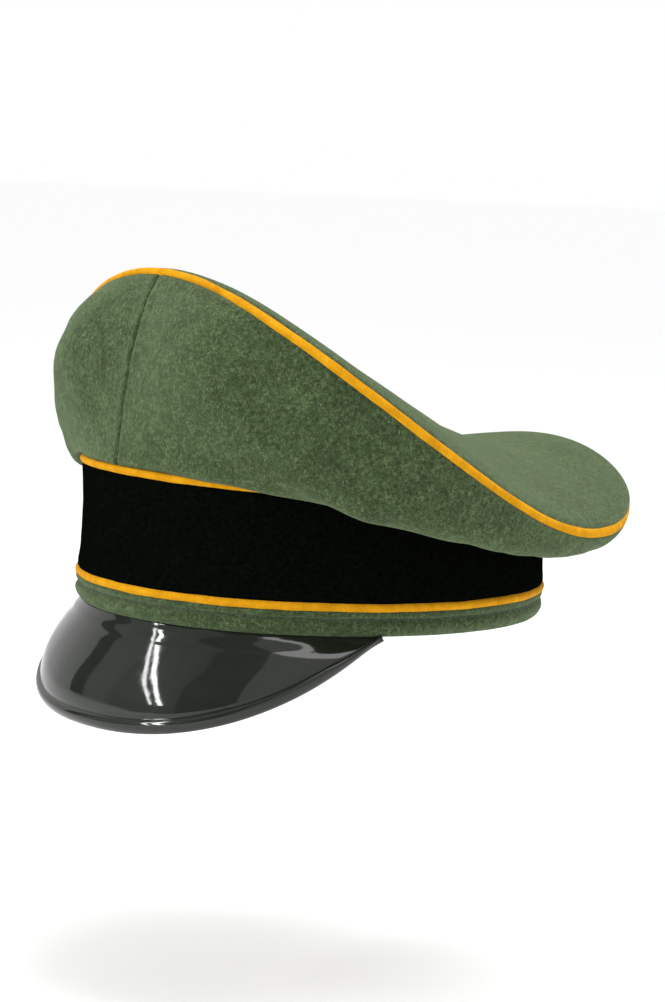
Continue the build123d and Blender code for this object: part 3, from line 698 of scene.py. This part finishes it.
bpy.context.scene.view_settings.view_transform = 'Standard'

# ---------------------------------------------------------------- crown sides
def crown_side(name, sign):
    nth, ns = 300, 120
    dth = np.linspace(0, 1, nth)
    # closer rows at the two seams
    th = pi * (dth - 0.0)
    e = 0.7 / 100.0
    th = np.interp(np.linspace(0, 1, nth), [0, 0.04, 0.96, 1], [0, 0.05, pi - 0.05, pi])
    s = np.linspace(0, 1, ns)
    s = np.interp(s, [0, 0.12, 0.86, 1], [0, 0.09, 0.93, 1.0])
    r, z, nr, nz = wall_rz(th, s)
    T = np.broadcast_to(th[:, None], r.shape)
    arc = np.concatenate([np.zeros((nth, 1)), np.cumsum(np.hypot(np.diff(r, axis=1), np.diff(z, axis=1)), 1)], 1)
    rest = arc[:, -1:] - arc
    P0 = polar(r, T * sign, z)
    deg = np.degrees(T)
    # padded, gently uneven cloth; calm at the pipings
    calm = smooth(0, 12, arc) * smooth(0, 10, rest)
    off = 0.55 * wob(P0, 46, 11) * calm + 0.18 * wob(P0, 13, 12, 2) * calm
    # soft hang folds low on the sides and rear
    off += 0.5 * calm * gauss(rest / arc[:, -1:], 0.55, 0.18) * wob(P0 * np.array([1, 1, 0.25]), 30, 14, 2) * smooth(50, 90, deg)
    # the cloth rolls over the upper piping at the wearer's front right
    side_w = (gauss(deg, 44, 17) if sign < 0 else 0.0 * deg)
    hgt = z - at(TOP_RING, th)[1][:, None]
    ks = (0, 4, 8, 12, 17, 23, 30, 42, 400)
    soft = lambda vals: sum(np.interp(arc + e, ks, vals) for e in (-1.6, -0.8, 0, 0.8, 1.6)) / 5
    dr = -side_w * soft((0, 0.2, 0.8, 1.5, 2.1, 1.6, 0.8, 0, 0))
    dz = -side_w * soft((0, 4.2, 5.4, 5.6, 3.2, 2.6, 1.5, 0, 0)) * smooth(0, 2.5, arc)
    # on the wearer's left front it sags over the piping and hides it
    if sign > 0:
        off += 3.1 * smooth(12, 28, deg) * smooth(88, 50, deg) * gauss(arc, 4.2, 3.8)
    # tuck against the crown piping and the band piping
    off += 0.55 * gauss(rest, 3.2, 1.9) - 0.3 * gauss(rest, 0, 1.0)
    off += 0.45 * gauss(arc, 2.2, 1.6)
    # seams, front and back: turned edges with a groove and small puckers
    for d in (T * r, (pi - T) * r):
        puck = 1 + 0.35 * np.sin(arc / 2.9 + 1.3 * np.sin(arc / 9.0))
        off += -0.95 * np.exp(-(d / 0.6) ** 1.5) + 0.16 * puck * gauss(d, 2.6, 1.3)
    ro, zo = r + nr * off + dr, z + nz * off + dz
    thick = 1.6
    ri, zi = r + nr * (np.minimum(off, 0.6) - thick) + dr, z + nz * (np.minimum(off, 0.6) - thick) + dz
    gap = 0.0
    To = T * sign
    outer = polar(ro, To, zo); inner = polar(ri, To, zi)
    ob = shell(name, outer, inner, False, M_FELT)
    cut = slice(3, ns - 3)
    c0 = polar(ri + (nr * -0.12), To, zi + (nz * -0.12)); c1 = polar(ri + (nr * -0.75), To, zi + (nz * -0.75))
    cv = shell(name.replace("cloth_crown", "canvas"), c0[:, cut], c1[:, cut], False, M_CANVAS)
    return ob, cv


for nm, sg in (("crown_side_left", 1), ("crown_side_right", -1)):
    o, cv = crown_side("cloth_" + nm, sg)
    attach(cv, "root"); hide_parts(nm.replace("crown_side", "side_interlining"))
    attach(o, "root"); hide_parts(nm)

# ---------------------------------------------------------------- top panel
nt, nr_ = 360, 110
t = np.linspace(0, 2 * pi, nt, endpoint=False)
Rr = np.interp(np.linspace(0, 1, nr_), [0, 0.75, 1], [0.004, 0.93, 1.0])
cx, cy = oval(t, CA, CB, CN, 0); cx = cx * (1 + CEGG * np.cos(t))
X = cx[:, None] * Rr; Y = cy[:, None] * Rr + CDY
cz = sum(c * Rr[None] ** k * np.cos(k * t[:, None]) for k, c in enumerate(CZ))
cz = cz + (1 - Rr ** 2) * (DOME[0] + DOME[1] * Rr * np.cos(t[:, None]) + DOME[2] * Rr ** 2 * np.cos(2 * t[:, None]))
cz = cz + PUFF * (1 - Rr ** 16) * Rr ** 4
P = np.stack([X, Y, cz], -1)
dist = (1 - Rr)[None] * np.hypot(cx, cy)[:, None]
N = normals(P); N *= np.sign(N[..., 2:3])
calm = smooth(0, 14, dist)
off = 0.40 * wob(P, 70, 21, 2) * calm - 0.3 * gauss(dist, 0, 1.0) + 0.5 * gauss(dist, 3.2, 1.9)
fade = smooth(0.004, 0.05, Rr)[None]
outer = P + N * (off * fade)[..., None]
# padding pushes the cloth out over the piping at the back and far side
tdeg = np.degrees(t)
rear = smooth(100, 140, tdeg) * smooth(345, 300, tdeg)
rdir = np.stack([cx, cy, 0 * cx], -1); rdir /= np.linalg.norm(rdir, axis=-1, keepdims=True)
push = (dist / 3.4) * np.exp(1 - dist / 3.4) * rear[:, None]
outer = outer + rdir[:, None] * (2.5 * push)[..., None] + np.array([0, 0, 1.0]) * (0.3 * push)[..., None]
inner = P - N * 1.6
# closed cap at the centre
V = np.concatenate([outer.reshape(-1, 3), inner.reshape(-1, 3), outer[:, 0].mean(0)[None], inner[:, 0].mean(0)[None]])
n = nt * nr_
F = grid_faces(nt, nr_, True).tolist() + grid_faces(nt, nr_, True, base=n, flip=True).tolist()
for i in range(nt):
    i2 = (i + 1) % nt
    F.append([i * nr_ + nr_ - 1, n + i * nr_ + nr_ - 1, n + i2 * nr_ + nr_ - 1, i2 * nr_ + nr_ - 1])
    F.append([2 * n, i * nr_, i2 * nr_]); F.append([2 * n + 1, n + i2 * nr_, n + i * nr_])
uvt = V[:, :2].copy()
o = make_obj("cloth_top_panel", V, F, M_FELT, uvs=uvt); fix_normals(o)
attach(o, "root"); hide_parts("top_panel")
TOPCLOTH = o

# ---------------------------------------------------------------- pipings
def piping(name, node, path, rad, seed):
    n = len(path)
    g = np.random.default_rng(seed)
    w = wob(path, 26, seed, 2)
    path = path + np.stack([0 * w, 0 * w, 0.10 * w], -1)
    R = rad * (1 + 0.035 * wob(path, 14, seed + 1, 3))
    o = tube(name, path, R, 20, True, M_PIPE)
    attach(o, "root"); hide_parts(node)
    return o


def resample(path, n):
    q = np.concatenate([path, path[:1]])
    L = np.concatenate([[0], np.cumsum(np.linalg.norm(np.diff(q, axis=0), axis=-1))])
    s = np.linspace(0, L[-1], n, endpoint=False)
    return np.stack([np.interp(s, L, q[:, k]) for k in range(3)], -1)


tt = np.linspace(0, 2 * pi, 1440, endpoint=False)
cp = np.stack(crown_xyz(tt), -1)
cdir = np.stack([cp[:, 0], cp[:, 1] - CDY, 0 * cp[:, 0]], -1); cdir /= np.linalg.norm(cdir, axis=-1, keepdims=True)
pull = 0.3 + 1.1 * (smooth(100, 140, np.degrees(tt)) * smooth(345, 300, np.degrees(tt)))
piping("piping_crown", "crown_piping", resample(cp - cdir * pull[:, None], 900), 1.9, 31)
up = np.stack(top_xyz(tt), -1)
nrm = np.stack([np.sin(tt) / BAND_B, -np.cos(tt) / BAND_A, 0 * tt], -1); nrm /= np.linalg.norm(nrm, axis=-1, keepdims=True)
piping("piping_upper_band", "upper_band_piping", resample(up - nrm * 0.45, 800), 1.6, 41)
lx, ly = oval(tt, BAND_A, BAND_B)
lp = np.stack([lx, ly, np.full_like(lx, LOW_Z)], -1)
piping("piping_lower_band", "lower_band_piping", resample(lp - nrm * 0.8, 800), 1.85, 51)


# ---------------------------------------------------------------- band cloth
def band_ring(z, th, inset=0.0):
    """Radius of the band's outer face at height z (array over v) and th."""
    f = np.clip((z - LOW_Z) / (TOP_Z - LOW_Z), 0, 1.2)
    r0, _ = at(LOW_RING, th); r1, _ = at(TOP_RING, th)
    return r0 * (1 - f) + r1 * f - inset


nth, nv = 420, 44
th = np.linspace(-pi, pi, nth, endpoint=False)
v = np.linspace(0, 1, nv)
z_top = at(TOP_RING, th)[1]
Zb = LOW_Z + 0.6 + v[None] * (z_top[:, None] - 0.4 - LOW_Z - 0.6)
Tb = np.broadcast_to(th[:, None], Zb.shape)
rb = band_ring(Zb, Tb)
hz = (Zb - LOW_Z)
# the cloth waists in a little above the piping and flares at the front below
off = -0.9 * np.sin(pi * np.clip(v, 0, 1))[None] * (0.5 + 0.5 * np.cos(Tb))
off = off - 0.5 * gauss(hz, 0, 1.0) - 0.5 * gauss(z_top[:, None] - Zb, 0, 1.0) + 0.25 * gauss(hz, 4, 2) + 0.25 * gauss(z_top[:, None] - Zb, 4, 2)
Pb = polar(rb, Tb, Zb)
off = off + 0.22 * wob(Pb, 42, 61) + 0.07 * wob(Pb, 12, 62, 2)
# join of the band strip, at the back
dj = np.abs((Tb % (2 * pi)) - pi) * rb
off = off - 0.7 * np.exp(-(dj / 0.7) ** 1.5) + 0.2 * gauss(dj, 2.6, 1.2)
o = shell("cloth_band", polar(rb + off, Tb, Zb), polar(rb - 1.6, Tb, Zb), True, M_BAND)
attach(o, "root"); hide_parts("cap_band")

# ---------------------------------------------------------------- bottom binding
prof = np.array([(-1.9, 9.9), (-0.7, 10.3), (0.2, 9.8), (0.5, 9.0), (0.35, 8.1), (-0.1, 7.45), (-0.6, 7.0), (-0.75, 6.6), (-0.55, 6.2),
                 (-0.05, 5.7), (0.35, 4.9), (0.5, 4.0), (0.35, 2.9), (-0.15, 1.7), (-0.9, 0.6), (-1.7, -0.1), (-2.8, -0.4), (-4.2, -0.2),
                 (-5.6, 0.15), (-6.0, 0.7), (-5.7, 1.4), (-4.6, 1.7), (-3.0, 1.75), (-2.4, 2.4), (-2.3, 5.0), (-2.3, 8.0)])


def dense_loop(p, k=3):
    """Catmull-Rom through a closed loop of points."""
    n = len(p); out = []
    for i in range(n):
        a, b, c, d = p[(i - 1) % n], p[i], p[(i + 1) % n], p[(i + 2) % n]
        for j in range(k):
            s = j / k
            out.append(0.5 * ((2 * b) + (-a + c) * s + (2 * a - 5 * b + 4 * c - d) * s * s + (-a + 3 * b - 3 * c + d) * s ** 3))
    return np.array(out)


pl = dense_loop(prof, 3)
th = np.linspace(-pi, pi, 480, endpoint=False)
r0, _ = at(LOW_RING, th)
Rb = r0[:, None] + pl[None, :, 0]
Zb = np.broadcast_to(pl[None, :, 1], Rb.shape).copy()
Tb = np.broadcast_to(th[:, None], Rb.shape)
Pp = polar(Rb, Tb, Zb)
w = wob(Pp, 20, 71, 3)
outside = (pl[:, 0] > -1.5)[None]
Rb = Rb + np.where(outside, 0.22 * w, 0)
Zb = Zb + 0.12 * wob(Pp, 33, 72, 2)
# drawn in a little where each stitch bites
st = np.cos(Tb * 130)
Rb = Rb - np.where(outside, 0.16 * (0.5 + 0.5 * st) * gauss(pl[None, :, 1], 6.6, 0.9), 0)
dj = np.abs((Tb % (2 * pi)) - pi) * Rb
Rb = Rb - np.where(outside, 0.5 * np.exp(-(dj / 0.7) ** 1.5), 0)
o = solid_ring("cloth_bottom_binding", polar(Rb, Tb, Zb), M_FELT)
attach(o, "root"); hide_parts("bottom_binding")

specs = []
for i in range(130):
    a0, a1 = 2 * pi * (i + 0.14) / 130, 2 * pi * (i + 0.86) / 130
    pts = []
    for a in (a0, a1):
        rr = float(at(LOW_RING, np.array([a]))[0][0]) - 0.62
        pts.append((rr * math.sin(a), -rr * math.cos(a), 6.6 + 0.05 * math.sin(i * 1.7)))
    am = (a0 + a1) / 2
    specs.append((pts[0], pts[1], 0.27, (math.sin(am), -math.cos(am), 0), 0.12))
o = capsules("stitches_binding", specs, M_THREAD)
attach(o, "root"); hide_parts("binding_stitching")


# ---------------------------------------------------------------- visor
def rim_pt(t):
    bx, by = oval(t, BAND_A * 0.985, BAND_B * 0.985)
    nx, ny = np.sin(t) / BAND_B, -np.cos(t) / BAND_A
    q = np.hypot(nx, ny)
    u = np.abs(t) / math.radians(V_TV)
    L = V_L * np.clip(1 - u ** V_PW, 0, 1) ** V_Q
    d = math.radians(V_D0) + math.radians(V_D2) * u * u
    return bx + nx / q * L * np.cos(d), by + ny / q * L * np.cos(d), 2 - L * np.sin(d)


nu = 300
tv = math.radians(V_TV)
uu = np.linspace(-1, 1, nu)
uu = np.sign(uu) * (1 - (1 - np.abs(uu)) ** 1.25)
tvv = uu * tv * 0.988
rx, ry, rz = rim_pt(tvv)
rim = np.stack([rx, ry, rz], -1)
thv = np.arctan2(rx, -ry)
rin = at(LOW_RING, thv)[0]
root_r = rin - 1.9
a_ = polar(root_r, thv, np.full_like(rx, -0.2))
chord = rim - a_
L = np.linalg.norm(chord, axis=-1, keepdims=True)
ch = chord / L
tang = np.gradient(rim, axis=0); tang /= np.linalg.norm(tang, axis=-1, keepdims=True)
nn = np.cross(ch, tang); nn /= np.linalg.norm(nn, axis=-1, keepdims=True)
outdir = polar(np.ones(nu), thv, np.zeros(nu))
nn *= np.sign((nn * (outdir + np.array([0, 0, 0.3]))).sum(-1, keepdims=True))
BW = 5.6
bw = np.minimum(BW, 0.30 * L[:, 0])
# section: s along the chord, c out from it; rows by true distance from the rim
sv = np.concatenate([np.linspace(0, 0.10, 12), np.linspace(0.12, 1, 40)[:-1]])
rows_s, rows_c = [], []
Lc = L[:, 0]
k_ = (Lc / V_L)
k1 = smooth(0.35, 0.85, k_)
body = lambda s: 4.6 * k_ ** 1.3 * np.sin(pi * s) * (1 - 0.30 * np.cos(pi * s)) + k1 * (0.22 * np.exp(-((s * Lc - 3.4) / 2.0) ** 2) - 0.20 * np.exp(-((s * Lc - 7.0) / 1.8) ** 2))
for s in sv:
    s_ = s * (Lc - bw) / Lc
    rows_s.append(s_); rows_c.append(body(s_))
bp = [(0.00, -0.35), (0.05, -0.25), (0.12, 0.25), (0.20, 0.70), (0.32, 1.15), (0.46, 1.45), (0.60, 1.50), (0.74, 1.25), (0.86, 0.75), (0.95, 0.05), (1.00, -0.75)]
for f, c in bp[0:]:
    s_ = 1 - bw / Lc * (1 - f)
    rows_s.append(s_); rows_c.append(body(s_) + c * bw / BW)
S = np.stack(rows_s, 1); C = np.stack(rows_c, 1)
outer = a_[:, None] + ch[:, None] * (S * L)[..., None] + nn[:, None] * C[..., None]
outer = outer + nn[:, None] * (0.05 * wob(outer, 26, 81, 2))[..., None]
T_v = 2.0
Cin = np.stack([body(s_) for s_ in rows_s], 1)
taper = np.interp(np.linspace(0, 1, S.shape[1]), [0, 0.97, 1], [1, 1, 0.75])
inner = a_[:, None] + ch[:, None] * (S * L)[..., None] + nn[:, None] * (Cin - T_v * taper[None])[..., None]
# flange under the binding
fl = polar(rin - 5.8, thv, np.full_like(rx, -0.2)); fl2 = polar(rin - 5.8, thv, np.full_like(rx, -2.1))
outer = np.concatenate([fl[:, None], outer], 1); inner = np.concatenate([fl2[:, None], inner], 1)
o = shell("visor_body", outer, inner, False, M_VISOR)
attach(o, "root"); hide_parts("visor")
VIS = o

# tan embossed underlay
sel = slice(1, S.shape[1] - 3)
u_out = a_[:, None] + ch[:, None] * (S * L)[..., None] + nn[:, None] * (Cin - T_v - 0.12)[..., None]
u_in = a_[:, None] + ch[:, None] * (S * L)[..., None] + nn[:, None] * (Cin - T_v - 0.8)[..., None]
on = np.where(Lc > 9.0)[0]
keep = slice(on[0], on[-1] + 1)
o = shell("visor_underlay", u_out[keep, sel], u_in[keep, sel], False, M_UNDER)
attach(o, "root"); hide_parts("visor_lining")

specs = []
for i in range(52):
    a0 = math.radians(-63 + 126 * (i + 0.12) / 52); a1 = math.radians(-63 + 126 * (i + 0.80) / 52)
    pts = []
    for a in (a0, a1):
        rr = float(at(LOW_RING, np.array([a]))[0][0]) - 4.9
        pts.append((rr * math.sin(a), -rr * math.cos(a), -2.15))
    specs.append((pts[0], pts[1], 0.30, (0, 0, -1), 0.15))
o = capsules("stitches_visor", specs, M_THREAD_T)
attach(o, "root"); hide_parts("visor_stitching")

# ---------------------------------------------------------------- sweatband
th = np.linspace(-pi, pi, 420, endpoint=False)
v = np.linspace(0, 1, 40)
Zs = 1.9 + v[None] * 41.6 + 0 * th[:, None]
Ts = np.broadcast_to(th[:, None], Zs.shape)
rs = band_ring(Zs, Ts, SWEAT_IN + 1.2)
Ps = polar(rs, Ts, Zs)
# loose upper edge, standing a little proud of the stiffener
ease = 0.5 * wob(Ps * np.array([1, 1, .4]), 55, 91, 2) * v[None] ** 2
rs = rs - 0.35 - 0.45 * smooth(0.6, 1, v)[None] - np.abs(ease)
dj = np.abs((Ts % (2 * pi)) - pi) * rs
rs = rs - 0.9 * smooth(5.5, 4.5, dj) * 0.5
back_face = band_ring(Zs, Ts, SWEAT_IN)
o = shell("leather_sweatband", polar(back_face - 0.0, Ts, Zs), polar(rs, Ts, Zs), True, M_LEATHER)
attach(o, "root"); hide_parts("sweatband")
reedp = polar(at(LOW_RING, tt)[0] - 7.4, tt, np.full_like(tt, 1.2))
o = tube("cord_sweatband_reed", resample(reedp, 500), 1.1, 12, True, M_REED)
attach(o, "root"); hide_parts("sweatband_reed")


# ---------------------------------------------------------------- lining
def lining_r(th):
    a = at(LOW_RING, th)[0] - 6.5
    b = at(CROWN_RING, th)[0] - 15.0
    return (a ** -8 + b ** -8) ** (-1 / 8)


LT = 9.0
th = np.linspace(-pi, pi, 480, endpoint=False)
rl = lining_r(th)
ztop = top_height(rl * np.sin(th), -rl * np.cos(th)) - LT
r0 = at(LOW_RING, th)[0] - SWEAT_IN - 1.0
v = np.linspace(0, 1, 30)
Rl = r0[:, None] * (1 - v) + (rl[:, None] + 0.1) * v
Zl = 40.0 * (1 - v) + ztop[:, None] * v
Tl = np.broadcast_to(th[:, None], Rl.shape)
ht = (ztop - 40.0)[:, None]
env = np.sin(pi * v)[None]
pleat = 0.9 * env * np.cos(Tl * 34 + 1.2 * np.sin(Tl * 5)) * np.clip(ht / 40, 0.15, 1) + 0.6 * env * wob(polar(Rl, Tl, Zl), 30, 95, 2)
Rl2 = Rl + pleat * 0.8 - 0.3
liner = polar(Rl2, Tl, Zl)
o = shell("lining_side_cloth", liner, polar(Rl2 - 0.45, Tl, Zl), True, M_LINING)
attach(o, "root"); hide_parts("lining_side")
lo = liner
Lh = np.linalg.norm(np.diff(liner, axis=1), axis=-1).sum(1)
per = float(np.linalg.norm(np.roll(liner[:, 15], -1, 0) - liner[:, 15], axis=-1).sum())
area_side = float(np.mean(Lh) * per) * 1e-6


def top_sheet(name, depth, outline_r, centre, mat, thick, nr=50, amp=0.5, seed=96):
    th = np.linspace(-pi, pi, 320, endpoint=False)
    R = np.linspace(0.01, 1, nr)
    rl = outline_r(th)
    X = (rl * np.sin(th))[:, None] * R; Y = (-rl * np.cos(th))[:, None] * R + centre * (1 - R)
    Z = top_height(X, Y) - depth
    P = np.stack([X, Y, Z], -1)
    Z2 = Z + amp * wob(P, 40, seed, 2) * smooth(1.0, 0.85, R)[None]
    A = np.stack([X, Y, Z2], -1); B = A - np.array([0, 0, thick])
    n = A.shape[0] * nr
    V = np.concatenate([A.reshape(-1, 3), B.reshape(-1, 3), A[:, 0].mean(0)[None], B[:, 0].mean(0)[None]])
    nt = len(th)
    F = grid_faces(nt, nr, True).tolist() + grid_faces(nt, nr, True, base=n, flip=True).tolist()
    for i in range(nt):
        i2 = (i + 1) % nt
        F.append([i * nr + nr - 1, n + i * nr + nr - 1, n + i2 * nr + nr - 1, i2 * nr + nr - 1])
        F.append([2 * n, i * nr, i2 * nr]); F.append([2 * n + 1, n + i2 * nr, n + i * nr])
    o = make_obj(name, V, F, mat, uvs=V[:, :2]); fix_normals(o)
    return o, A


o, A = top_sheet("lining_top_cloth", LT, lining_r, 0, M_LINING, 0.45)
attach(o, "root"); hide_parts("lining_top")
# seam cord between the top and side lining
o = tube("lining_seam_fold", resample(liner[:, -1] + np.array([0, 0, -0.6]) - polar(np.full(480, 0.6), th, 0 * th), 480), 0.9, 10, True, M_LINING)
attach(o, "root")


def lozenge_r(th):
    """Rounded lozenge, 92 wide and 104 long, about (0, 22)."""
    c, s = np.abs(np.cos(th)) / 52.0, np.abs(np.sin(th)) / 46.0
    return 1.0 / (c ** 1.25 + s ** 1.25) ** (1 / 1.25)


th = np.linspace(-pi, pi, 240, endpoint=False)
R = np.linspace(0.01, 1, 24)
rl = lozenge_r(th)
X = (rl * np.sin(th))[:, None] * R; Y = (-rl * np.cos(th))[:, None] * R + 22
Z = top_height(X, Y) - LT - 1.25
A = np.stack([X, Y, Z], -1); B = A - np.array([0, 0, 0.4])
n = A.shape[0] * 24
V = np.concatenate([A.reshape(-1, 3), B.reshape(-1, 3), A[:, 0].mean(0)[None], B[:, 0].mean(0)[None]])
F = grid_faces(240, 24, True).tolist() + grid_faces(240, 24, True, base=n, flip=True).tolist()
for i in range(240):
    i2 = (i + 1) % 240
    F.append([i * 24 + 23, n + i * 24 + 23, n + i2 * 24 + 23, i2 * 24 + 23])
    F.append([2 * n, i * 24, i2 * 24]); F.append([2 * n + 1, n + i2 * 24, n + i * 24])
o = make_obj("shield_lozenge", V, F, M_SHIELD); fix_normals(o)
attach(o, "root"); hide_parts("sweat_shield")
specs = []
edge = A[:, -1] - np.array([0, 0, 0.45])
edge = edge * 1.0
ctr = np.array([0, 22, 0])
e2 = edge.copy(); e2[:, :2] = ctr[:2] + (edge[:, :2] - ctr[:2]) * 0.955
e2 = resample(e2, 150)
for i in range(75):
    specs.append((e2[2 * i], e2[2 * i] * 0.35 + e2[(2 * i + 1) % 150] * 0.65, 0.22, (0, 0, -1), 0.1))
o = capsules("stitches_shield", specs, M_THREAD_T)
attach(o, "root")


# ------------------------------------------------------------- hidden CAD nodes
hid = {"band_stiffener": simple("fibre_board", (0.16, 0.10, 0.05), (0.30, 0.20, 0.11), 0.7),
       "front_stay": None, "front_pad": simple("wadding", (0.5, 0.46, 0.38), (0.68, 0.64, 0.56), 0.95, 0, 120),
       "top_interlining": M_CANVAS,
       "hoop_wire": simple("drawn_wire", (0.45, 0.45, 0.45), (0.6, 0.6, 0.6), 0.3, 1.0),
       "hoop_ferrule": simple("brass_tube", (0.5, 0.36, 0.13), (0.66, 0.50, 0.22), 0.32, 1.0)}
hid["front_stay"] = hid["band_stiffener"]
for k, m in hid.items():
    ob = frame["nodes"][k]
    for sl in ob.material_slots:
        sl.material = m
